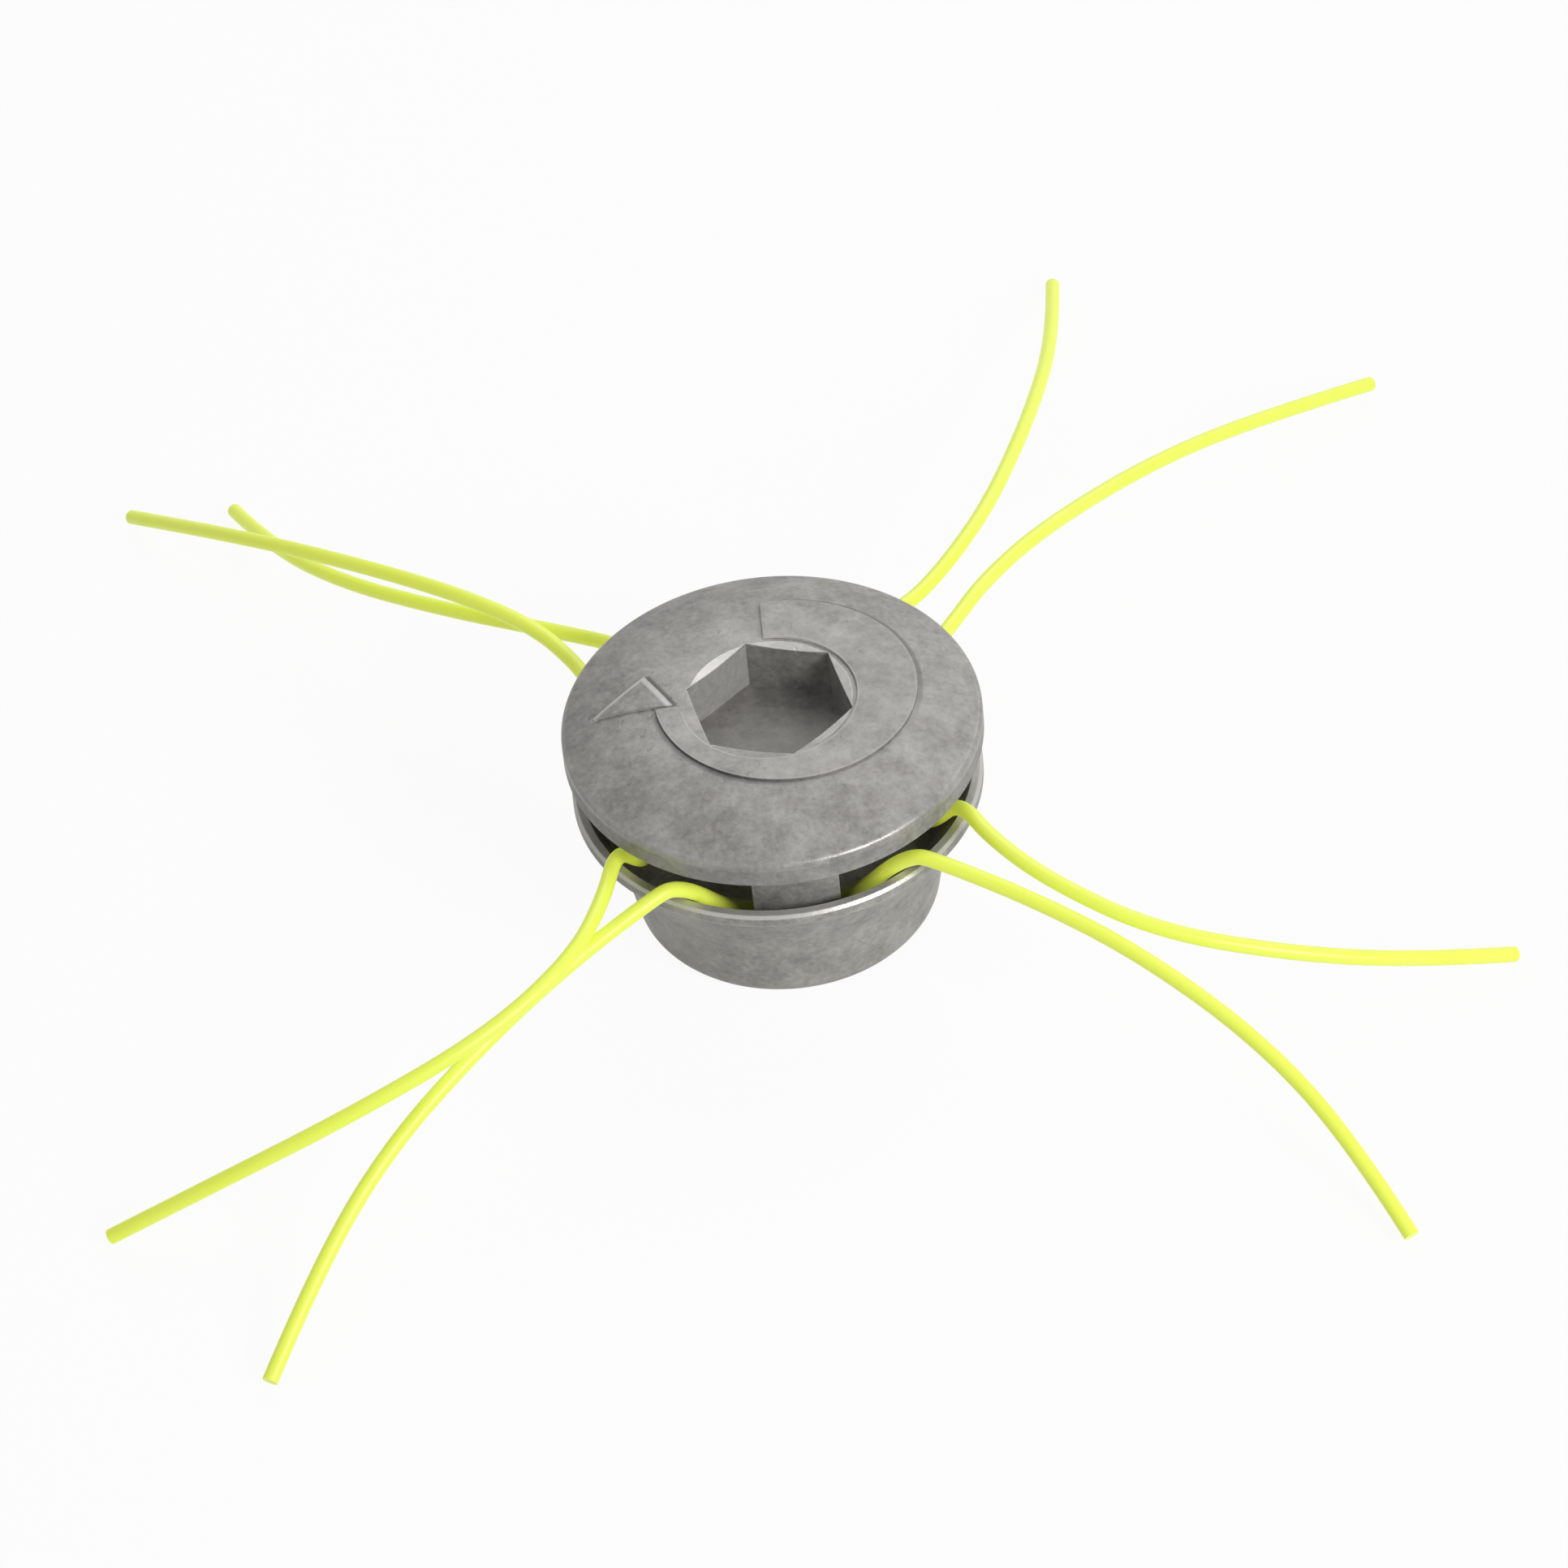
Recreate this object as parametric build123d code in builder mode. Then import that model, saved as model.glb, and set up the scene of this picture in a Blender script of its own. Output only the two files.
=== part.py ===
"""Fixed-line trimmer head: a cast cup, a screwed cast cap and four lengths of nylon line.

Millimetres, +Z up, the cup's flat foot on Z = 0 and the spindle axis on Z.
The front of the head is -Y.
"""

import math
import os

from build123d import *

os.makedirs("parts", exist_ok=True)

# Cup, outside
foot_r = 29.0
foot_round = 4.0
neck_r = 31.2
neck_z = 13.0
rim_setback = 0.7
rim_z = 31.6
rim_band = 2.4
rim_step = 0.4
rim_chamfer = 0.55

# Cup, inside
rim_wall = 2.0
rim_depth = 1.8
dish_floor_r = 29.0
dish_floor_z = 17.5

# Posts that the lines pass behind
post_count = 4
post_turn = 2.0
post_width = 16.4
post_inner_r = 29.6
post_thickness = 4.8
post_round = 1.8
post_root = 0.8
post_cap_gap = 0.4

# Cap
cap_r = 40.0
lip_z = 40.6
band_height = 5.0
crown_rise = 5.1
crown_flat_r = 18.0
crown_edge = 1.1
lip_edge = 0.4
groove_inner_r = 19.5
groove_outer_r = 29.5
groove_depth = 4.6
boss_drop = 2.2
seat_r = 13.5

# Six-sided socket in the cap
socket_sides = 6
socket_flats = 28.0
socket_depth = 10.6
socket_turn = 42.3
lead_in_r = 15.7
lead_in_depth = 0.45

# Raised arrow on the cap
arrow_height = 0.5
arrow_outer_r = 25.0
arrow_shift = (3.2, 2.4)
arrow_inner_r = 16.7
arrow_tip = (-23.2, 9.6)
arrow_outer_barb = (-33.6, 1.4)
arrow_inner_barb = (-18.2, 0.4)

# Screw that holds the cap: its core, with room in the hub for a left-hand thread
shank_r = 7.0
thread_height = 0.9
thread_clearance = 0.1
shank_length = 16.0
shank_chamfer = 1.2
shank_end_gap = 1.0

# Washer between cap and hub
washer_thickness = 1.5
washer_clearance = 0.4

# Steel insert: a hub that takes the cap's screw, on a spigot that takes the machine's spindle
# The spindle thread is M10 x 1.25 left-hand, its hole at the thread's outer radius
hub_r = 13.5
hub_z = 35.0
hub_edge = 0.8
spigot_r = 10.0
spindle_r = 5.0
spindle_clearance = 0.05
spindle_depth = 14.0
spindle_mouth = 0.8

# Recess in the foot that the machine's flange seats in
recess_r = 20.5
recess_depth = 3.0

# Nylon line
line_d = 3.0
arc_share = 0.45

# Routes of the four lines, tip to tip: in over the rim, behind a post and out again
routes = {
    "line_front": [
        (-103.0, -113.5, 2.0),
        (-93.0, -95.5, 10.5),
        (-78.5, -76.0, 19.5),
        (-59.5, -59.0, 27.0),
        (-42.5, -46.0, 32.0),
        (-30.5, -38.5, 34.8),
        (-20.6, -32.5, 36.7),
        (-10.0, -26.2, 20.8),
        (11.0, -25.8, 20.8),
        (22.5, -31.0, 36.7),
        (33.0, -36.0, 34.8),
        (46.0, -43.5, 32.5),
        (63.5, -55.5, 28.0),
        (82.5, -72.0, 20.0),
        (96.5, -90.0, 11.0),
        (105.5, -108.0, 2.0),
    ],
    "line_right": [
        (135.0, -40.5, 2.0),
        (116.5, -49.5, 12.5),
        (93.0, -54.5, 22.5),
        (67.0, -52.0, 30.0),
        (48.5, -40.5, 34.5),
        (38.5, -29.5, 36.5),
        (33.5, -18.5, 36.5),
        (28.3, -14.5, 28.0),
        (27.0, -6.0, 20.8),
        (26.0, 10.5, 20.8),
        (31.0, 22.2, 36.6),
        (37.0, 32.5, 35.0),
        (44.5, 45.0, 34.0),
        (58.0, 62.5, 30.5),
        (83.0, 88.0, 22.5),
        (109.0, 109.5, 12.5),
        (131.5, 127.5, 2.0),
    ],
    "line_back": [
        (69.5, 170.5, 2.0),
        (67.0, 140.5, 13.0),
        (59.5, 106.5, 23.0),
        (48.0, 71.0, 31.0),
        (38.0, 51.5, 34.0),
        (29.5, 39.5, 35.0),
        (20.1, 32.4, 36.7),
        (10.0, 26.2, 20.8),
        (-11.0, 25.8, 20.8),
        (-22.1, 31.0, 36.7),
        (-31.0, 38.5, 34.5),
        (-43.5, 46.5, 32.5),
        (-61.5, 59.0, 28.5),
        (-83.0, 79.5, 20.5),
        (-98.0, 103.5, 11.0),
        (-106.5, 126.0, 2.0),
    ],
    "line_left": [
        (-128.0, 127.5, 2.0),
        (-111.0, 105.5, 15.5),
        (-88.0, 82.0, 27.0),
        (-60.5, 58.0, 34.5),
        (-44.5, 43.0, 36.5),
        (-36.5, 31.0, 36.5),
        (-32.3, 20.1, 36.6),
        (-26.2, 9.5, 20.8),
        (-27.0, -6.5, 20.8),
        (-26.8, -17.3, 28.3),
        (-31.6, -22.2, 37.0),
        (-35.5, -34.0, 37.0),
        (-43.0, -47.0, 36.0),
        (-59.0, -61.5, 33.0),
        (-85.0, -72.5, 25.5),
        (-110.5, -75.0, 14.5),
        (-132.0, -74.0, 2.0),
    ],
}

# Levels and radii that follow from the sizes above
rim_r = cap_r - rim_setback
rim_inner_r = rim_r - rim_wall
post_outer_r = post_inner_r + post_thickness
seat_z = hub_z + washer_thickness
edge_z = lip_z + band_height
crown_z = edge_z + crown_rise
post_top_z = lip_z - post_cap_gap
boss_z = lip_z - boss_drop
shank_end_z = seat_z - shank_length
shank_hole_r = shank_r + thread_height + thread_clearance
shank_hole_z = shank_end_z - shank_end_gap
spindle_hole_r = spindle_r + spindle_clearance
spindle_hole_z = recess_depth + spindle_depth


def corner_radii(points):
    """One radius for each corner of a route, as large as the shorter run beside it allows."""
    corners = [Vector(point) for point in points]
    radii = []
    for before, corner, after in zip(corners, corners[1:], corners[2:]):
        turn = (corner - before).get_angle(after - corner)
        shorter = min((corner - before).length, (after - corner).length)
        radii.append(arc_share * shorter / math.tan(math.radians(turn / 2)))
    return radii


def write_piece(piece, name):
    """Labels a finished piece and writes it to its own file."""
    piece.part.label = name
    export_step(piece.part, f"parts/{name}.step")


# Posts that stand on the dish's slope and run a little way into its wall
with BuildPart() as posts:
    with BuildSketch(Plane.XY.offset(dish_floor_z)) as post_section:
        with PolarLocations(post_inner_r, post_count, start_angle=post_turn):
            Rectangle(post_outer_r, post_width, align=(Align.MIN, Align.CENTER))
        Circle(post_outer_r, mode=Mode.INTERSECT)
        inner_corners = post_section.vertices().group_by(lambda corner: round(Vector(corner).length, 2))[0]
        fillet(inner_corners, radius=post_round)
    extrude(amount=post_top_z - dish_floor_z)
    with BuildSketch(Plane.XZ):
        with BuildLine():
            Polyline(
                (0, dish_floor_z),
                (dish_floor_r + post_root, dish_floor_z),
                (rim_inner_r + post_root, rim_z - rim_depth),
                (rim_inner_r + post_root, post_top_z),
                (0, post_top_z),
                close=True,
            )
        make_face()
    revolve(axis=Axis.Z, mode=Mode.INTERSECT)

# Cup: turned outer form, dished top, four posts, recessed foot and a hole for the insert
with BuildPart() as base:
    with BuildSketch(Plane.XZ):
        with BuildLine():
            foot = Line((0, 0), (foot_r, 0))
            wall = Line(foot @ 1, (neck_r, neck_z))
            flare = TangentArc(wall @ 1, (rim_r - rim_step, rim_z - rim_band), tangent=wall % 1)
            Polyline(
                flare @ 1,
                (rim_r, rim_z - rim_band),
                (rim_r, rim_z - rim_chamfer),
                (rim_r - rim_chamfer, rim_z),
                (0, rim_z),
                foot @ 0,
            )
        make_face()
    revolve(axis=Axis.Z)
    fillet(base.edges().filter_by(GeomType.CIRCLE).group_by(Axis.Z)[0], radius=foot_round)
    with BuildSketch(Plane.XZ):
        with BuildLine():
            Polyline(
                (0, dish_floor_z),
                (dish_floor_r, dish_floor_z),
                (rim_inner_r, rim_z - rim_depth),
                (rim_inner_r, rim_z),
                (0, rim_z),
                close=True,
            )
        make_face()
    revolve(axis=Axis.Z, mode=Mode.SUBTRACT)
    add(posts.part)
    with BuildSketch():
        Circle(recess_r)
    extrude(amount=recess_depth, mode=Mode.SUBTRACT)
    with BuildSketch():
        Circle(spigot_r)
    extrude(amount=dish_floor_z, mode=Mode.SUBTRACT)
write_piece(base, "base")

# Steel insert pressed into the cup, turned in one piece with a blind hole from each end
with BuildPart() as spindle_insert:
    with BuildSketch(Plane.XZ):
        with BuildLine():
            Polyline(
                (spindle_hole_r + spindle_mouth, recess_depth),
                (spigot_r, recess_depth),
                (spigot_r, dish_floor_z),
                (hub_r, dish_floor_z),
                (hub_r, hub_z - hub_edge),
                (hub_r - hub_edge, hub_z),
                (shank_hole_r, hub_z),
                (shank_hole_r, shank_hole_z),
                (0, shank_hole_z),
                (0, spindle_hole_z),
                (spindle_hole_r, spindle_hole_z),
                (spindle_hole_r, recess_depth + spindle_mouth),
                close=True,
            )
        make_face()
    revolve(axis=Axis.Z)
write_piece(spindle_insert, "spindle_insert")

# Washer that the cap turns on and that rises with it
with BuildPart() as thrust_washer:
    with BuildSketch(Plane.XY.offset(hub_z)):
        Circle(seat_r)
        Circle(shank_hole_r + washer_clearance, mode=Mode.SUBTRACT)
    extrude(amount=washer_thickness)
write_piece(thrust_washer, "thrust_washer")


def crown_section(rise):
    """Draws the half section of the cap's crown, lifted by rise, down to the lip's level."""
    with BuildSketch(Plane.XZ) as section:
        with BuildLine():
            top = Line((0, crown_z + rise), (crown_flat_r, crown_z + rise))
            dome = TangentArc(top @ 1, (cap_r, edge_z + rise), tangent=(1, 0))
            Polyline(dome @ 1, (cap_r, lip_z), (0, lip_z), top @ 0)
        make_face()
    return section.sketch


# Arrow that stands up from the crown: a tapering band round the socket and its head
with BuildPart() as arrow:
    with BuildSketch(Plane.XY.offset(edge_z)):
        with Locations(arrow_shift):
            Circle(arrow_outer_r)
        Circle(arrow_inner_r, mode=Mode.SUBTRACT)
        Rectangle(cap_r, cap_r, align=(Align.MAX, Align.MIN), mode=Mode.SUBTRACT)
        Polygon(arrow_tip, arrow_outer_barb, arrow_inner_barb, align=None)
    extrude(amount=crown_rise + arrow_height)
    revolve(crown_section(arrow_height), axis=Axis.Z, mode=Mode.INTERSECT)

# Cap: domed crown, vertical band, cored underside, seat, shank and socket
with BuildPart() as cap:
    revolve(crown_section(0), axis=Axis.Z)
    band_edges = cap.edges().filter_by(GeomType.CIRCLE).filter_by(lambda edge: abs(edge.radius - cap_r) < 0.01)
    lower_edge, upper_edge = band_edges.sort_by(Axis.Z)
    fillet(lower_edge, radius=lip_edge)
    fillet(upper_edge, radius=crown_edge)
    add(arrow.part)
    with BuildSketch(Plane.XY.offset(lip_z)):
        Circle(groove_outer_r)
        Circle(groove_inner_r, mode=Mode.SUBTRACT)
    extrude(amount=groove_depth, mode=Mode.SUBTRACT)
    with BuildSketch(Plane.XZ):
        with BuildLine():
            Polyline(
                (0, shank_end_z),
                (shank_r - shank_chamfer, shank_end_z),
                (shank_r, shank_end_z + shank_chamfer),
                (shank_r, seat_z),
                (seat_r, seat_z),
                (groove_inner_r, boss_z),
                (groove_inner_r, lip_z),
                (0, lip_z),
                close=True,
            )
        make_face()
    revolve(axis=Axis.Z)
    with BuildSketch(Plane.XY.offset(crown_z)):
        RegularPolygon(socket_flats / 2, socket_sides, major_radius=False, rotation=socket_turn)
    extrude(amount=-socket_depth, mode=Mode.SUBTRACT)
    with BuildSketch(Plane.XZ):
        with BuildLine():
            Polyline(
                (0, crown_z),
                (lead_in_r, crown_z),
                (socket_flats / 2, crown_z - lead_in_depth),
                (0, crown_z - lead_in_depth),
                close=True,
            )
        make_face()
    revolve(axis=Axis.Z, mode=Mode.SUBTRACT)
write_piece(cap, "cap")

# Lines: one plain round tube each, straight runs joined by tangent arcs
for name, points in routes.items():
    radii = corner_radii(points)
    with BuildPart() as line:
        with BuildLine() as route:
            FilletPolyline(*points, radius=radii)
        with BuildSketch(Plane(origin=route.line @ 0, z_dir=route.line % 0)):
            Circle(line_d / 2)
        sweep()
    write_piece(line, name)
    length = route.wire().length
    section_volume = math.pi * (line_d / 2) ** 2 * length
    print(name, "length", round(length, 1), "volume share", round(line.part.volume / section_volume, 4))
    print(name, "radii", [round(radius, 1) for radius in radii])
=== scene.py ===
"""Looks of a fixed-line trimmer head: cast aluminium, turned steel and nylon line."""

import math

import bmesh
import bpy
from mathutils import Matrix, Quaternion, Vector


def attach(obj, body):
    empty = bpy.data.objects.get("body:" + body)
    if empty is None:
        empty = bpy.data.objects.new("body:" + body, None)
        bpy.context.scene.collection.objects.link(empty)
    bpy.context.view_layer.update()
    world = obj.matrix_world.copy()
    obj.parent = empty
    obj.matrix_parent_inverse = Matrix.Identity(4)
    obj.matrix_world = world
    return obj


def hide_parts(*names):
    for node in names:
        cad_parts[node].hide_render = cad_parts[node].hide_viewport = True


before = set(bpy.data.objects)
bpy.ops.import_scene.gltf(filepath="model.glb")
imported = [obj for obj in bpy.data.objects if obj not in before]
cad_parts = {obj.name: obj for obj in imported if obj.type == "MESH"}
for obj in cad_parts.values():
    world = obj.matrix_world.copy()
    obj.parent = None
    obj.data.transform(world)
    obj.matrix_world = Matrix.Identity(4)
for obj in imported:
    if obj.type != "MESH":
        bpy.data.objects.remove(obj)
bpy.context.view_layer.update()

mm = 0.001


def srgb(red, green, blue):
    """A colour as it is seen on screen, 0 to 255, as the linear values that shaders use."""
    def linear(value):
        value /= 255
        return value / 12.92 if value <= 0.04045 else ((value + 0.055) / 1.055) ** 2.4
    return (linear(red), linear(green), linear(blue), 1.0)


def dimmed(colour, share):
    """A colour at a share of its strength."""
    return (*(share * value for value in colour[:3]), 1.0)


# Camera that the photograph was taken with
photo_px = 1932
camera_distance = 1200.8 * mm
camera_elevation = math.radians(43.9)
camera_roll = math.radians(-6.14)
camera_aim = Vector((0, 0, 30 * mm))
focal_px = 7757
aim_px = (958.3, 957.3)
sensor_width = 36.0

# Light from the surroundings, and the floor's glow, grey and size in metres
ambient = 0.22
floor_glow = 0.94
floor_grey = 0.7
floor_size = 12

# Both castings: sizes of the mottling, the shares of clouds, blotches and grain in its tone,
# and the finish
cloud_size = 15 * mm
blotch_size = 4.5 * mm
grain_size = 1.2 * mm
skin_size = 0.4 * mm
tone_shares = (0.25, 0.35, 0.4)
tone_span = (0.38, 0.62)
noise_span = (0.3, 0.7)
skin_share = 0.6
pit_size = 2.6 * mm
pit_span = (0.27, 0.33)
pit_share = 0.2
pit_grey = srgb(86, 84, 82)
cast_rough = (0.46, 0.6)
cast_metal = 0.4
cast_depth = 0.05 * mm
cast_edge = 0.3 * mm

# Edges of the castings painted lighter, partly as wear and partly as painted highlight; the pale
# grey
#  also paints light elsewhere on the castings
pale_grey = srgb(208, 206, 202)
edge_light_reach = 0.5 * mm
edge_light_span = (0.18, 0.5)
edge_light_share = 0.6

# Cup, and its rim with a bright chamfer on the outer edge and a flat inside it
cup_dark = srgb(125, 123, 119)
cup_light = srgb(170, 168, 163)
rim_top = 31.6 * mm
rim_r = 39.3 * mm
rim_chamfer = 0.55 * mm
rim_slack = 0.05 * mm
turned_grey = srgb(186, 184, 180)
turned_polish = 0.22
rim_flat_slack = 0.1 * mm
rim_flat_width = 2.2 * mm
rim_flat_z = (rim_top - rim_flat_slack, rim_top + rim_flat_slack)
rim_flat_r = rim_r - rim_flat_width
rim_flat_share = 0.5

# Cap, and its raised arrow seen from above
cap_dark = srgb(116, 114, 111)
cap_light = srgb(160, 158, 154)
crown_low = 46 * mm
arrow_centre = (3.2 * mm, 2.4 * mm)
arrow_r = 25 * mm
arrow_tip = (-23.2 * mm, 9.6 * mm)
outer_barb = (-33.6 * mm, 1.4 * mm)
inner_barb = (-18.2 * mm, 0.4 * mm)

# Where the arrow runs into the crown without a line: the foot of its head, its tail and its
#  inner wall, where walls that face sideways get painted light over their shade
head_foot_x = (-36 * mm, -16 * mm)
head_foot_y = (-1.6 * mm, 2.4 * mm)
tail_x = (-9 * mm, 1.5 * mm)
tail_y = (15 * mm, 31 * mm)
inner_wall_r = (16.4 * mm, 17.2 * mm)
wall_tilt = 0.8
arrow_wall_light_y = (2 * mm, 10 * mm)
arrow_wall_light_shares = (0.3, 1.0)

# Painted shade in the corner along the arrow's foot, weaker to the right; its grey also paints
#  the shade beside the arrow
shade_grey = srgb(52, 50, 48)
corner_shade_reach = 1.2 * mm
corner_shade_span = (0.08, 0.4)
corner_shade_share = 0.8
corner_shade_x = (-6 * mm, 8 * mm)
corner_shade_right_share = 0.3
corner_shade_r = 18.4 * mm

# Soft shade beside the arrow's arc, on its far and near sides, and beside the right edge of
# its head
arc_shade_width = 1.0 * mm
arc_shade_blend = 0.2 * mm
far_x = (2 * mm, 12 * mm)
far_y = (-12 * mm, 4 * mm)
far_share = 0.5
near_x = (-6 * mm, 6 * mm)
near_y = (-3 * mm, 0.0)
near_share = 0.35
head_shade = (0.0, 1.0 * mm)
head_shade_share = 0.7

# Painted highlight along two edges of the arrow's head, as distances to the left of the edge
outer_light = (-0.5 * mm, 0.6 * mm)
inner_light = (-1.1 * mm, -0.1 * mm)
head_light_share = 0.55
stroke_blend = 0.25 * mm
stroke_end_blend = 0.4 * mm

# Edge round the crown a little lighter and smoother, partly as wear and partly as painted
# highlight, and
#  the turned lead-in of the socket, with painted light on its far side
crown_edge_r = (39.0 * mm, 39.5 * mm)
crown_edge_z = (44.3 * mm, 46.2 * mm)
crown_edge_share = 0.1
lead_in_r = (13.9 * mm, 15.75 * mm)
lead_in_z = (50.22 * mm, 51 * mm)
lead_in_slope = 1.2
lead_in_lit = (-12 * mm, -3 * mm)
lead_in_share = 0.5
edge_polish = 0.2

# Socket: painted light on its left walls and painted shade on its floor
socket_r = 16.3 * mm
socket_wall_z = (40.3 * mm, 50.2 * mm)
wall_light_span = (0.0, 0.5)
wall_light_share = 0.35
socket_floor_z = (39.8 * mm, 40.3 * mm)
socket_shade_grey = srgb(92, 90, 85)
socket_shade_share = 0.35

# Turned steel
insert_grey = srgb(130, 130, 132)
washer_grey = srgb(140, 140, 141)
steel_light = srgb(176, 175, 174)
steel_haze_size = 3 * mm
steel_rough = (0.28, 0.42)
steel_ring_pitch = 0.35 * mm
steel_ring_depth = 0.01 * mm
steel_edge = 0.2 * mm

# Left-hand screw of the cap in the insert's hub: the shank's ridge and the hub's ridge,
# half a pitch apart
screw_pitch = 2.0 * mm
shank_r = 7.0 * mm
shank_crest_r = 7.9 * mm
shank_low = 22.2 * mm
shank_high = 35.4 * mm
hub_hole_r = 8.0 * mm
hub_crest_r = 7.1 * mm
hub_low = 20.4 * mm
hub_high = 34.4 * mm

# Left-hand spindle thread in the insert's spigot
spindle_pitch = 1.25 * mm
spindle_hole_r = 5.05 * mm
spindle_crest_r = 4.4 * mm
spindle_low = 4.4 * mm
spindle_high = 16.2 * mm

# Form of a ridge: its foot and its crest as shares of the pitch, how far its foot sinks into
# the wall, steps a turn, the turns in which it runs out, and the share of its height at its end
ridge_foot = 0.46
ridge_crest = 0.12
ridge_sink = 0.04 * mm
ridge_steps = 32
ridge_run_out = 0.25
ridge_start = 0.05

# Nylon line: its form, its colours, a glow that is painted light over its shading, and painted
# shade where it runs inside the head
line_d = 3.0 * mm
nylon_sides = 6
nylon_steps = 10
nylon_cloud_size = 14 * mm
nylon_base_share = 0.65
nylon_dark = dimmed(srgb(226, 242, 72), nylon_base_share)
nylon_light = dimmed(srgb(236, 248, 108), nylon_base_share)
nylon_rough = (0.34, 0.44)
draw_mark_size = 2.4 * mm
draw_mark_depth = 0.01 * mm
painted_glow_colour = srgb(230, 244, 84)
painted_glow_strength = 0.4
inside_shade_colour = srgb(58, 64, 16)
inside_shade_r = (30.0 * mm, 35.0 * mm)
inside_shade_share = 0.95

# Routes of the four lines, tip to tip, in millimetres
routes = {
    "line_front": [
        (-103.0, -113.5, 2.0),
        (-93.0, -95.5, 10.5),
        (-78.5, -76.0, 19.5),
        (-59.5, -59.0, 27.0),
        (-42.5, -46.0, 32.0),
        (-27.0, -36.4, 36.0),
        (-20.6, -32.5, 36.7),
        (-10.0, -26.2, 20.8),
        (11.0, -25.8, 20.8),
        (22.5, -31.0, 36.7),
        (29.0, -34.1, 36.1),
        (46.0, -43.5, 32.5),
        (63.5, -55.5, 28.0),
        (82.5, -72.0, 20.0),
        (96.5, -90.0, 11.0),
        (105.5, -108.0, 2.0),
    ],
    "line_right": [
        (135.0, -40.5, 2.0),
        (116.5, -49.5, 12.5),
        (93.0, -54.5, 22.5),
        (67.0, -52.0, 30.0),
        (48.5, -40.5, 34.5),
        (38.5, -29.5, 36.5),
        (33.5, -18.5, 36.5),
        (28.3, -14.5, 28.0),
        (27.0, -6.0, 20.8),
        (26.0, 10.5, 20.8),
        (31.0, 22.2, 36.6),
        (37.0, 32.5, 35.0),
        (44.5, 45.0, 34.0),
        (58.0, 62.5, 30.5),
        (83.0, 88.0, 22.5),
        (109.0, 109.5, 12.5),
        (131.5, 127.5, 2.0),
    ],
    "line_back": [
        (69.5, 170.5, 2.0),
        (67.0, 140.5, 13.0),
        (59.5, 106.5, 23.0),
        (48.0, 71.0, 31.0),
        (38.0, 51.5, 34.0),
        (29.5, 39.5, 35.0),
        (20.1, 32.4, 36.7),
        (10.0, 26.2, 20.8),
        (-11.0, 25.8, 20.8),
        (-22.1, 31.0, 36.7),
        (-31.0, 38.5, 34.5),
        (-43.5, 46.5, 32.5),
        (-61.5, 59.0, 28.5),
        (-83.0, 79.5, 20.5),
        (-98.0, 103.5, 11.0),
        (-106.5, 126.0, 2.0),
    ],
    "line_left": [
        (-128.0, 127.5, 2.0),
        (-111.0, 105.5, 15.5),
        (-88.0, 82.0, 27.0),
        (-60.5, 58.0, 34.5),
        (-44.5, 43.0, 36.5),
        (-36.5, 31.0, 36.5),
        (-32.3, 20.1, 36.6),
        (-26.2, 9.5, 20.8),
        (-27.0, -6.5, 20.8),
        (-26.8, -17.3, 28.3),
        (-31.6, -22.2, 37.0),
        (-34.6, -34.5, 36.8),
        (-41.0, -47.8, 35.8),
        (-57.5, -62.5, 32.8),
        (-85.0, -72.5, 25.5),
        (-110.5, -75.0, 14.5),
        (-132.0, -74.0, 2.0),
    ],
}

# Place along each route of the run behind the post, and of the points over the rim on each
# side of it
middle_runs = {"line_front": 7, "line_right": 8, "line_back": 7, "line_left": 7}
rim_points = {
    "line_front": (6, 9),
    "line_right": (6, 10),
    "line_back": (6, 9),
    "line_left": (6, 10),
}

# Lengths of the two ends of each line, from the middle of the run behind the post to the tip
end_lengths = {
    "line_front": (150.5 * mm, 150.0 * mm),
    "line_right": (153.5 * mm, 178.0 * mm),
    "line_back": (183.0 * mm, 163.0 * mm),
    "line_left": (177.0 * mm, 161.5 * mm),
}


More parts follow.
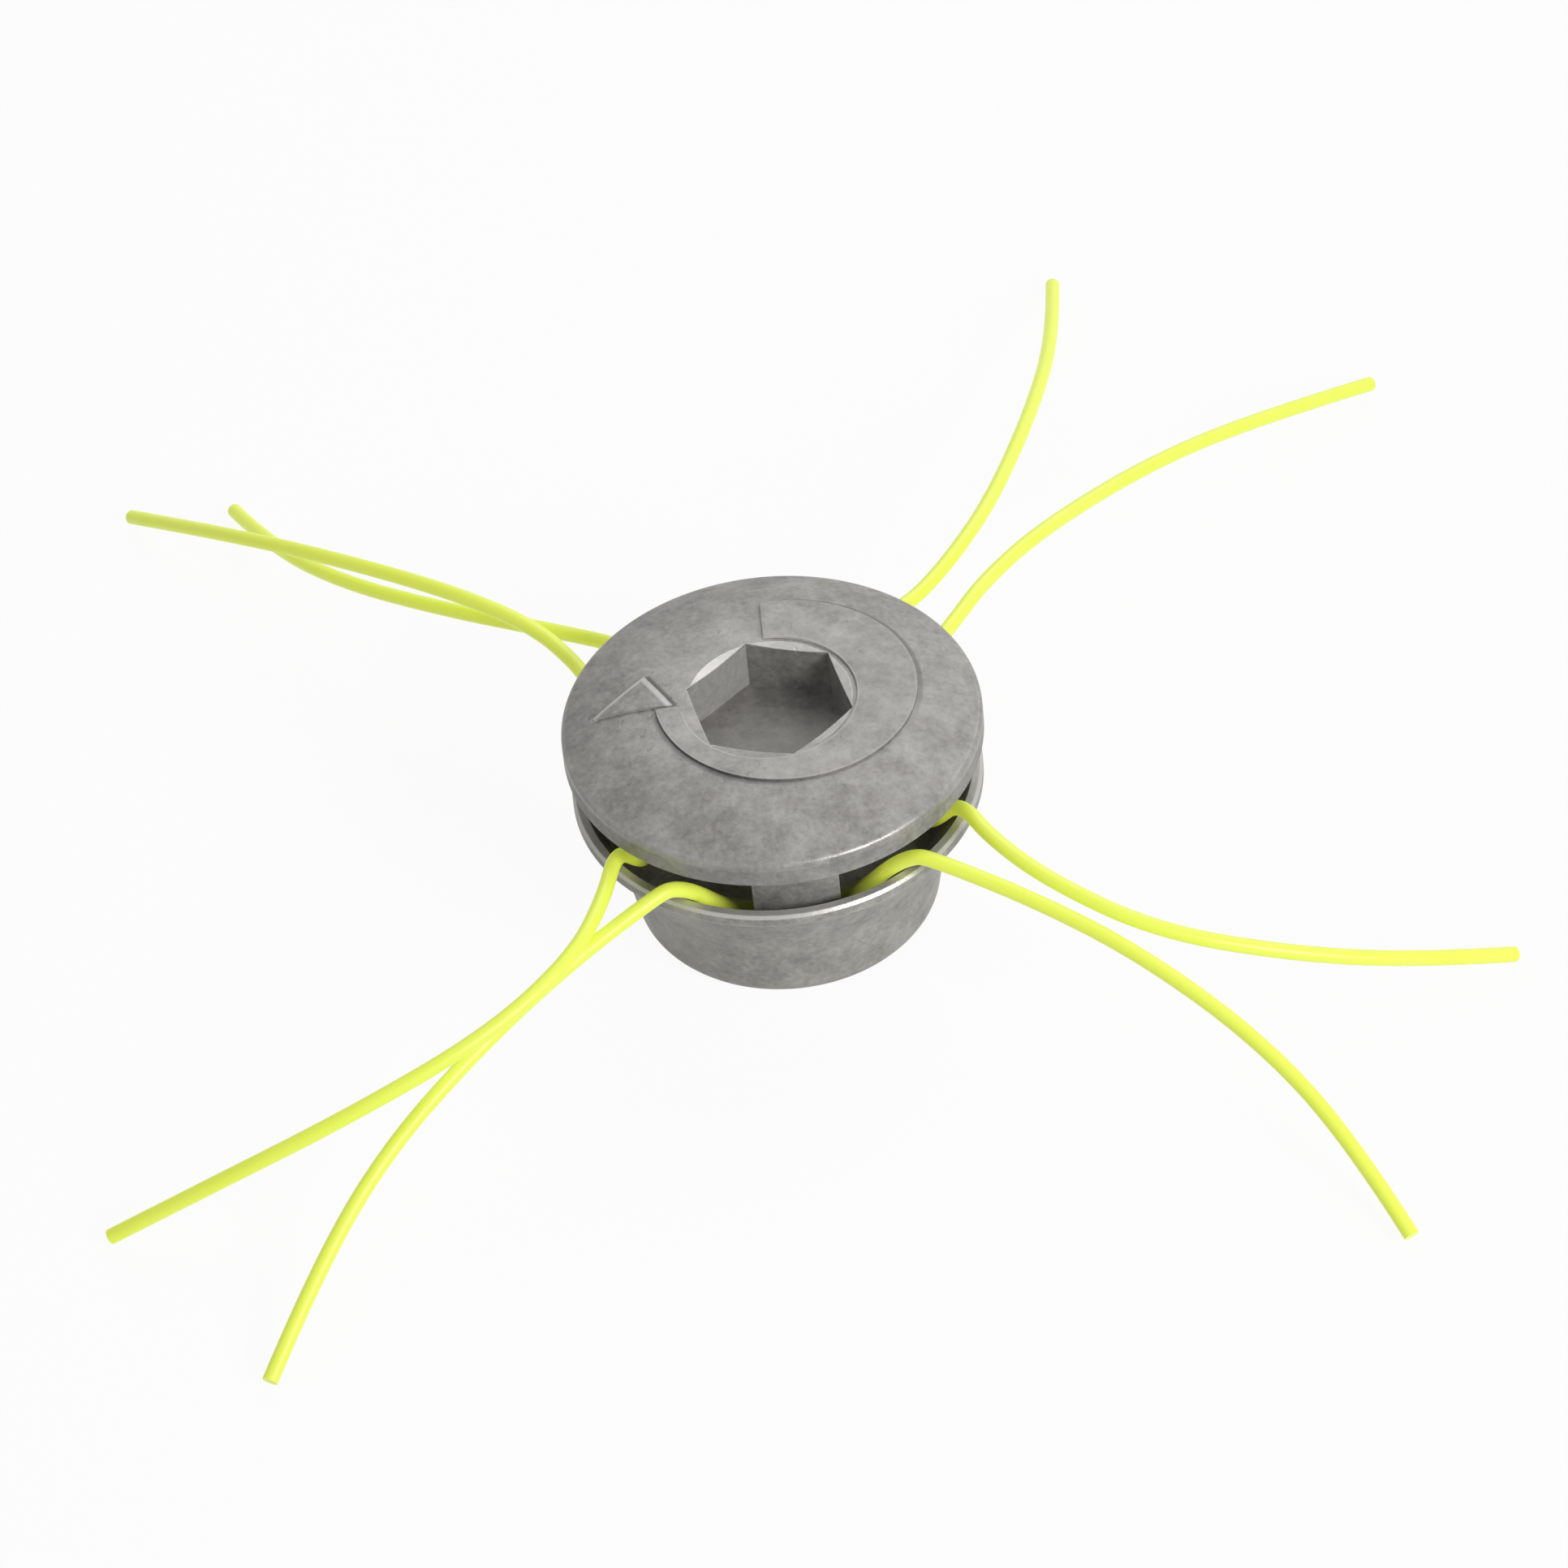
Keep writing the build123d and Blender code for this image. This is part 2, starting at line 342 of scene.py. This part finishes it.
class Paint:
    """A node material with short calls for the nodes that the finishes share."""

    def __init__(self, name):
        self.material = bpy.data.materials.new(name)
        self.material.use_nodes = True
        self.nodes = self.material.node_tree.nodes
        self.links = self.material.node_tree.links
        self.shader = self.nodes["Principled BSDF"]
        coordinates = self.nodes.new("ShaderNodeTexCoord")
        self.place = coordinates.outputs["Object"]
        self.facing = coordinates.outputs["Normal"]

    def join(self, socket, value):
        """Links another socket, or sets a plain value."""
        if isinstance(value, bpy.types.NodeSocket):
            self.links.new(value, socket)
        else:
            socket.default_value = value

    def set(self, **values):
        """Sets or links sockets of the surface shader, with underscores for spaces."""
        for name, value in values.items():
            self.join(self.shader.inputs[name.replace("_", " ")], value)

    def noise(self, size, detail=4.0, roughness=0.55):
        """Cloudy noise with features of about the given size in metres."""
        node = self.nodes.new("ShaderNodeTexNoise")
        node.inputs["Scale"].default_value = 1 / size
        node.inputs["Detail"].default_value = detail
        node.inputs["Roughness"].default_value = roughness
        self.links.new(self.place, node.inputs["Vector"])
        return node.outputs["Fac"]

    def math(self, operation, first, second=0.0):
        """One step of arithmetic."""
        node = self.nodes.new("ShaderNodeMath")
        node.operation = operation
        self.join(node.inputs[0], first)
        self.join(node.inputs[1], second)
        return node.outputs["Value"]

    def times(self, first, *others):
        """The product of several values."""
        product = first
        for value in others:
            product = self.math("MULTIPLY", product, value)
        return product

    def either(self, first, second):
        """The larger of two values."""
        return self.math("MAXIMUM", first, second)

    def rest(self, share):
        """What a share leaves of 1."""
        return self.math("SUBTRACT", 1.0, share)

    def above(self, value, low):
        """1 above a value, 0 below it."""
        return self.math("GREATER_THAN", value, low)

    def below(self, value, high):
        """1 below a value, 0 above it."""
        return self.math("LESS_THAN", value, high)

    def within(self, value, low, high):
        """1 between two values, 0 outside them."""
        return self.times(self.above(value, low), self.below(value, high))

    def spread(self, value, low, high, to_low=0.0, to_high=1.0):
        """Maps a stretch of values onto another, held at its ends."""
        node = self.nodes.new("ShaderNodeMapRange")
        self.join(node.inputs["Value"], value)
        node.inputs["From Min"].default_value = low
        node.inputs["From Max"].default_value = high
        node.inputs["To Min"].default_value = to_low
        node.inputs["To Max"].default_value = to_high
        return node.outputs["Result"]

    def soft_within(self, value, low, high, blend):
        """As within, with a soft edge on each side."""
        rising = self.spread(value, low - blend, low + blend)
        falling = self.spread(value, high - blend, high + blend, 1.0, 0.0)
        return self.times(rising, falling)

    def mix(self, share, first, second):
        """Mixes two colours."""
        node = self.nodes.new("ShaderNodeMix")
        node.data_type = "RGBA"
        self.join(node.inputs[0], share)
        self.join(node.inputs[6], first)
        self.join(node.inputs[7], second)
        return node.outputs[2]

    def bump(self, height, depth, normal=None):
        """Bumps the surface by up to depth metres."""
        node = self.nodes.new("ShaderNodeBump")
        node.inputs["Strength"].default_value = 1.0
        node.inputs["Distance"].default_value = depth
        self.links.new(height, node.inputs["Height"])
        if normal is not None:
            self.links.new(normal, node.inputs["Normal"])
        return node.outputs["Normal"]

    def hollows(self, reach, inside=False):
        """How closed-in the surface is within reach: its corners, or from inside, its edges."""
        node = self.nodes.new("ShaderNodeAmbientOcclusion")
        node.samples = 4
        node.inside = inside
        node.only_local = True
        node.inputs["Distance"].default_value = reach
        return self.rest(node.outputs["AO"])

    def soft_edges(self, radius):
        """The surface's normal with its sharp edges rounded."""
        node = self.nodes.new("ShaderNodeBevel")
        node.samples = 3
        node.inputs["Radius"].default_value = radius
        return node.outputs["Normal"]

    def parts(self, vector):
        """The three parts of a vector."""
        node = self.nodes.new("ShaderNodeSeparateXYZ")
        self.links.new(vector, node.inputs["Vector"])
        return node.outputs["X"], node.outputs["Y"], node.outputs["Z"]

    def distance(self, x, y):
        """The length of two parts at a right angle."""
        return self.math("SQRT", self.math("ADD", self.times(x, x), self.times(y, y)))

    def radius_and_height(self):
        """Distance from the spindle axis, and height."""
        x, y, height = self.parts(self.place)
        return self.distance(x, y), height

    def beside(self, start, end, low, high):
        """1 along a straight edge seen from above, from low to high on its left side."""
        x, y, _ = self.parts(self.place)
        across, along = end[0] - start[0], end[1] - start[1]
        length = math.hypot(across, along)
        across, along = across / length, along / length
        side = self.math("SUBTRACT", self.times(y, across), self.times(x, along))
        side = self.math("SUBTRACT", side, start[1] * across - start[0] * along)
        run = self.math("ADD", self.times(x, across), self.times(y, along))
        run = self.math("SUBTRACT", run, start[0] * across + start[1] * along)
        on_side = self.soft_within(side, low, high, stroke_blend)
        return self.times(on_side, self.soft_within(run, 0.0, length, stroke_end_blend))


def cast_aluminium(name, dark, light, no_edge_light=None):
    """Matte cast aluminium: mottled grey with grain and pits, its sharp edges painted lighter,
    partly as wear and partly as painted highlight.
    """
    paint = Paint(name)
    clouds = paint.noise(cloud_size, detail=3)
    blotches = paint.noise(blotch_size, detail=5, roughness=0.6)
    grain = paint.noise(grain_size, detail=6, roughness=0.65)
    skin = paint.noise(skin_size, detail=3)
    cloud_share, blotch_share, grain_share = tone_shares
    tone = paint.times(clouds, cloud_share)
    tone = paint.math("ADD", tone, paint.times(blotches, blotch_share))
    tone = paint.math("ADD", tone, paint.times(grain, grain_share))
    colour = paint.mix(paint.spread(tone, *tone_span), dark, light)
    pits = paint.spread(paint.noise(pit_size, detail=2), *pit_span, 1.0, 0.0)
    colour = paint.mix(paint.times(pits, pit_share), colour, pit_grey)
    # Painted highlight, with some wear, on sharp edges found from inside the surface
    edges = paint.hollows(edge_light_reach, inside=True)
    edge_light = paint.spread(edges, *edge_light_span, 0.0, edge_light_share)
    if no_edge_light is not None:
        edge_light = paint.times(edge_light, paint.rest(no_edge_light(paint)))
    colour = paint.mix(edge_light, colour, pale_grey)
    rough = paint.spread(grain, *noise_span, *cast_rough)
    height = paint.math("ADD", grain, paint.times(skin, skin_share))
    height = paint.math("SUBTRACT", height, pits)
    normal = paint.bump(height, cast_depth, paint.soft_edges(cast_edge))
    return paint, colour, rough, normal


def arrow_blends(paint):
    """1 round the foot of the arrow's head and round its tail, where no line is seen."""
    x, y, _ = paint.parts(paint.place)
    radius, _ = paint.radius_and_height()
    head_foot = paint.times(paint.within(x, *head_foot_x), paint.within(y, *head_foot_y))
    tail = paint.times(paint.within(x, *tail_x), paint.within(y, *tail_y))
    return paint.times(paint.either(head_foot, tail), paint.above(radius, socket_r))


def arrow_shade(paint, on_crown, blends):
    """How dark the crown is along the arrow: painted shade in the corner at its foot, and soft
    shade beside it.
    """
    x, y, _ = paint.parts(paint.place)
    radius, _ = paint.radius_and_height()
    corner = paint.spread(paint.hollows(corner_shade_reach), *corner_shade_span, 0.0, corner_shade_share)
    to_the_right = paint.spread(x, *corner_shade_x, 1.0, corner_shade_right_share)
    outside = paint.above(radius, corner_shade_r)
    corner = paint.times(corner, on_crown, to_the_right, outside, paint.rest(blends))

    from_x = paint.math("SUBTRACT", x, arrow_centre[0])
    from_y = paint.math("SUBTRACT", y, arrow_centre[1])
    arc = paint.distance(from_x, from_y)
    arc = paint.soft_within(arc, arrow_r, arrow_r + arc_shade_width, arc_shade_blend)
    far_side = paint.times(paint.spread(x, *far_x, 0.0, far_share), paint.spread(y, *far_y))
    near_side = paint.spread(x, *near_x, near_share, 0.0)
    near_side = paint.times(near_side, paint.spread(y, *near_y, 1.0, 0.0))
    arc = paint.times(arc, paint.either(far_side, near_side), on_crown)

    head = paint.beside(arrow_tip, inner_barb, *head_shade)
    head = paint.times(head, on_crown, head_shade_share)
    return paint.either(corner, paint.either(arc, head))


def arrow_light(paint, on_crown):
    """How light the two upper edges of the arrow's head are."""
    outer = paint.beside(outer_barb, arrow_tip, *outer_light)
    inner = paint.beside(arrow_tip, inner_barb, *inner_light)
    return paint.times(paint.either(outer, inner), on_crown, head_light_share)


def cap_material():
    """The cap's casting: its arrow, a crown edge lighter as wear and painted highlight, a turned
    lead-in and the socket; painted light and shade on the arrow, lead-in and socket.
    """
    paint, colour, rough, normal = cast_aluminium("cast_cap", cap_dark, cap_light, arrow_blends)
    x, y, _ = paint.parts(paint.place)
    face_x, _, face_z = paint.parts(paint.facing)
    radius, height = paint.radius_and_height()
    blends = arrow_blends(paint)
    on_crown = paint.above(height, crown_low)
    # Painted shade in the corner at the arrow's foot and beside its arc and head
    colour = paint.mix(arrow_shade(paint, on_crown, blends), colour, shade_grey)
    # Painted highlight along the two upper edges of the arrow's head
    colour = paint.mix(arrow_light(paint, on_crown), colour, pale_grey)
    # Painted light over the shade of sideways walls at the head's foot, the tail and the inner wall
    inner_wall = paint.times(paint.within(radius, *inner_wall_r), on_crown)
    arrow_wall_light = paint.times(paint.either(blends, inner_wall), paint.below(face_z, wall_tilt))
    arrow_wall_light = paint.times(arrow_wall_light, paint.spread(y, *arrow_wall_light_y, *arrow_wall_light_shares))
    colour = paint.mix(arrow_wall_light, colour, pale_grey)

    # Crown edge a little lighter and smoother: wear and painted highlight
    crown_edge = paint.spread(radius, *crown_edge_r)
    crown_edge = paint.times(crown_edge, paint.within(height, *crown_edge_z))
    colour = paint.mix(paint.times(crown_edge, crown_edge_share), colour, pale_grey)
    # Painted light on the lead-in's far side
    lead_in = paint.times(paint.within(radius, *lead_in_r), paint.within(height, *lead_in_z))
    towards_light = paint.math("ADD", x, paint.times(y, lead_in_slope))
    lead_in = paint.times(lead_in, paint.spread(towards_light, *lead_in_lit))
    colour = paint.mix(paint.times(lead_in, lead_in_share), colour, pale_grey)

    # Painted light on the socket's left walls, which face the light, and painted shade on its floor
    in_socket = paint.below(radius, socket_r)
    lit_walls = paint.times(in_socket, paint.within(height, *socket_wall_z))
    lit_walls = paint.times(lit_walls, paint.spread(face_x, *wall_light_span, 0.0, wall_light_share))
    colour = paint.mix(lit_walls, colour, pale_grey)
    floor_shade = paint.times(in_socket, paint.within(height, *socket_floor_z), socket_shade_share)
    colour = paint.mix(floor_shade, colour, socket_shade_grey)
    polished = paint.times(paint.either(crown_edge, lead_in), edge_polish)
    rough = paint.math("SUBTRACT", rough, polished)
    paint.set(Base_Color=colour, Roughness=rough, Normal=normal, Metallic=cast_metal)
    return paint.material


def cup_material():
    """The cup's casting, with the rim's chamfer turned bright and its flat a little lighter."""
    paint, colour, rough, normal = cast_aluminium("cast_cup", cup_dark, cup_light)
    radius, height = paint.radius_and_height()
    at_top = paint.above(height, rim_top - rim_chamfer - rim_slack)
    at_edge = paint.above(radius, rim_r - rim_chamfer - rim_slack)
    turned = paint.times(at_top, at_edge)
    colour = paint.mix(turned, colour, turned_grey)
    rough = paint.math("SUBTRACT", rough, paint.times(turned, turned_polish))
    rim_flat = paint.times(paint.within(height, *rim_flat_z), paint.above(radius, rim_flat_r))
    rim_flat = paint.times(rim_flat, paint.rest(at_edge), rim_flat_share)
    colour = paint.mix(rim_flat, colour, pale_grey)
    paint.set(Base_Color=colour, Roughness=rough, Normal=normal, Metallic=cast_metal)
    return paint.material


def steel_material(name, colour):
    """Turned steel with fine rings."""
    paint = Paint(name)
    radius, _ = paint.radius_and_height()
    rings = paint.math("SINE", paint.times(radius, 2 * math.pi / steel_ring_pitch))
    haze = paint.noise(steel_haze_size)
    paint.set(
        Base_Color=paint.mix(haze, colour, steel_light),
        Roughness=paint.spread(haze, *noise_span, *steel_rough),
        Normal=paint.bump(rings, steel_ring_depth, paint.soft_edges(steel_edge)),
        Metallic=1.0,
    )
    return paint.material


def nylon_material():
    """Fluorescent yellow-green nylon with a little glow as painted light, and painted shade where
    it runs inside the head.
    """
    paint = Paint("nylon_line")
    cloud = paint.noise(nylon_cloud_size)
    draw_marks = paint.noise(draw_mark_size, detail=1)
    radius, _ = paint.radius_and_height()
    colour = paint.mix(cloud, nylon_dark, nylon_light)
    # Painted shade on the line inside the head, and a glow that is painted light
    inside_shade = paint.spread(radius, *inside_shade_r, inside_shade_share, 0.0)
    paint.set(
        Base_Color=paint.mix(inside_shade, colour, inside_shade_colour),
        Roughness=paint.spread(draw_marks, *noise_span, *nylon_rough),
        Normal=paint.bump(draw_marks, draw_mark_depth),
        Emission_Color=paint.mix(inside_shade, painted_glow_colour, srgb(0, 0, 0)),
        Emission_Strength=painted_glow_strength,
    )
    return paint.material


def screw_ridge(name, body, material, wall_r, crest_r, pitch, low, high, phase):
    """The ridge of a left-hand thread, sunk a little into its wall and run out at both ends."""
    outward = 1 if crest_r > wall_r else -1
    turns = (high - low) / pitch
    count = round(turns * ridge_steps)
    shape = bmesh.new()
    rows = []
    for step in range(count + 1):
        share = step / count
        angle = phase - 2 * math.pi * turns * share
        middle = low + (high - low) * share
        turns_to_end = turns * min(share, 1 - share)
        run_out = min(1.0, turns_to_end / ridge_run_out + ridge_start)
        foot_r = wall_r - outward * ridge_sink
        top_r = wall_r + (crest_r - wall_r) * run_out
        section = [
            (foot_r, -ridge_foot / 2),
            (top_r, -ridge_crest / 2),
            (top_r, ridge_crest / 2),
            (foot_r, ridge_foot / 2),
        ]
        row = []
        for radius, rise in section:
            x, y = radius * math.cos(angle), radius * math.sin(angle)
            row.append(shape.verts.new((x, y, middle + rise * pitch)))
        rows.append(row)
    for row, after in zip(rows, rows[1:]):
        for side in range(4):
            other = (side + 1) % 4
            shape.faces.new((row[side], row[other], after[other], after[side]))
    shape.faces.new(rows[0])
    shape.faces.new(rows[-1])
    bmesh.ops.recalc_face_normals(shape, faces=shape.faces)
    mesh = bpy.data.meshes.new(name)
    shape.to_mesh(mesh)
    shape.free()
    mesh.materials.append(material)
    piece = bpy.data.objects.new(name, mesh)
    bpy.context.scene.collection.objects.link(piece)
    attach(piece, body)


def line_end(name, points, material):
    """One free end of a line: a smooth round cord from behind its post to its tip."""
    curve = bpy.data.curves.new(name, "CURVE")
    curve.dimensions = "3D"
    curve.bevel_depth = line_d / 2
    curve.bevel_resolution = nylon_sides
    curve.use_fill_caps = True
    spline = curve.splines.new("NURBS")
    spline.points.add(len(points) - 1)
    for control, point in zip(spline.points, points):
        control.co = (*point, 1.0)
    spline.order_u = 3
    spline.use_endpoint_u = True
    spline.resolution_u = nylon_steps
    curve.materials.append(material)
    piece = bpy.data.objects.new(name, curve)
    bpy.context.scene.collection.objects.link(piece)
    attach(piece, "cup")
    return piece


def nylon_lines():
    """The eight free ends, two to a line, that meet behind the line's post."""
    material = nylon_material()
    for name, route in routes.items():
        points = [Vector(point) * mm for point in route]
        run = middle_runs[name]
        middle = (points[run] + points[run + 1]) / 2
        first = [middle] + points[run::-1]
        second = [middle] + points[run + 1:]
        two_ends = zip("ab", (first, second), rim_points[name], end_lengths[name])
        for side, end, at, length in two_ends:
            piece = line_end(f"{name}_{side}", end, material)
            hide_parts(name)


def paint_node(name, material):
    """Gives a solid its finish."""
    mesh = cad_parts[name].data
    mesh.materials.clear()
    mesh.materials.append(material)


def seen_or_mirrored(nodes, links):
    """1 for rays from the camera and for reflections and refractions, 0 for light on surfaces."""
    path = nodes.new("ShaderNodeLightPath")
    seen = path.outputs["Is Camera Ray"]
    for name in ("Is Glossy Ray", "Is Transmission Ray"):
        either = nodes.new("ShaderNodeMath")
        either.operation = "MAXIMUM"
        links.new(seen, either.inputs[0])
        links.new(path.outputs[name], either.inputs[1])
        seen = either.outputs["Value"]
    return seen


def studio_world():
    """White surroundings, with a softer level of light from them."""
    world = bpy.data.worlds.new("studio")
    bpy.context.scene.world = world
    world.use_nodes = True
    nodes, links = world.node_tree.nodes, world.node_tree.links
    level = nodes.new("ShaderNodeMapRange")
    level.inputs["To Min"].default_value = ambient
    level.inputs["To Max"].default_value = 1.0
    links.new(seen_or_mirrored(nodes, links), level.inputs["Value"])
    nodes["Background"].inputs["Color"].default_value = (1, 1, 1, 1)
    links.new(level.outputs["Result"], nodes["Background"].inputs["Strength"])


def studio_floor():
    """A plain white floor that keeps a faint shadow."""
    bpy.ops.mesh.primitive_plane_add(size=floor_size)
    floor = bpy.context.object
    floor.name = "floor"
    material = bpy.data.materials.new("floor_white")
    material.use_nodes = True
    nodes, links = material.node_tree.nodes, material.node_tree.links
    nodes.remove(nodes["Principled BSDF"])
    matte = nodes.new("ShaderNodeBsdfDiffuse")
    matte.inputs["Color"].default_value = (floor_grey, floor_grey, floor_grey, 1)
    glow = nodes.new("ShaderNodeEmission")
    glow.inputs["Strength"].default_value = 1.0
    share = nodes.new("ShaderNodeMath")
    share.operation = "MULTIPLY"
    share.inputs[1].default_value = floor_glow
    links.new(seen_or_mirrored(nodes, links), share.inputs[0])
    blend = nodes.new("ShaderNodeMixShader")
    links.new(share.outputs["Value"], blend.inputs["Fac"])
    links.new(matte.outputs["BSDF"], blend.inputs[1])
    links.new(glow.outputs["Emission"], blend.inputs[2])
    links.new(blend.outputs["Shader"], nodes["Material Output"].inputs["Surface"])
    floor.data.materials.append(material)


def soft_lamp(name, azimuth, elevation, distance, size, watts):
    """A square studio lamp that looks at the head. The front is at azimuth -90."""
    lamp = bpy.data.lights.new(name, "AREA")
    lamp.size = size
    lamp.energy = watts
    piece = bpy.data.objects.new(name, lamp)
    turn, rise = math.radians(azimuth), math.radians(elevation)
    level = math.cos(rise)
    towards = Vector((math.cos(turn) * level, math.sin(turn) * level, math.sin(rise)))
    piece.location = camera_aim + towards * distance
    piece.rotation_mode = "QUATERNION"
    piece.rotation_quaternion = (-towards).to_track_quat("-Z", "Y")
    piece.visible_camera = False
    bpy.context.scene.collection.objects.link(piece)


def photo_camera():
    """The photograph's own viewpoint."""
    lens = bpy.data.cameras.new("camera")
    lens.sensor_width = sensor_width
    lens.lens = focal_px * sensor_width / photo_px
    lens.shift_x = (photo_px / 2 - aim_px[0]) / photo_px
    lens.shift_y = (aim_px[1] - photo_px / 2) / photo_px
    camera = bpy.data.objects.new("camera", lens)
    away = Vector((0, -math.cos(camera_elevation), math.sin(camera_elevation)))
    camera.location = camera_aim + away * camera_distance
    camera.rotation_mode = "QUATERNION"
    level = (-away).to_track_quat("-Z", "Y")
    camera.rotation_quaternion = level @ Quaternion((0, 0, 1), camera_roll)
    bpy.context.scene.collection.objects.link(camera)
    bpy.context.scene.camera = camera


cast_cap = cap_material()
insert_steel = steel_material("insert_steel", insert_grey)
paint_node("cap", cast_cap)
paint_node("base", cup_material())
paint_node("spindle_insert", insert_steel)
paint_node("thrust_washer", steel_material("washer_steel", washer_grey))
nylon_lines()
screw_ridge(
    "shank_thread", "screw_cap", cast_cap,
    shank_r, shank_crest_r, screw_pitch, shank_low, shank_high, 0.0,
)
hub_phase = 2 * math.pi * (shank_low - hub_low) / screw_pitch + math.pi
screw_ridge(
    "hub_thread", "cup", insert_steel,
    hub_hole_r, hub_crest_r, screw_pitch, hub_low, hub_high, hub_phase,
)
screw_ridge(
    "spindle_thread_ridge", "cup", insert_steel,
    spindle_hole_r, spindle_crest_r, spindle_pitch, spindle_low, spindle_high, 0.0,
)
studio_world()
studio_floor()
soft_lamp("back_key", azimuth=68, elevation=45, distance=1.3, size=1.1, watts=8)
soft_lamp("front_key", azimuth=-50, elevation=30, distance=1.3, size=0.5, watts=13)
photo_camera()
bpy.context.scene.view_settings.view_transform = "Standard"
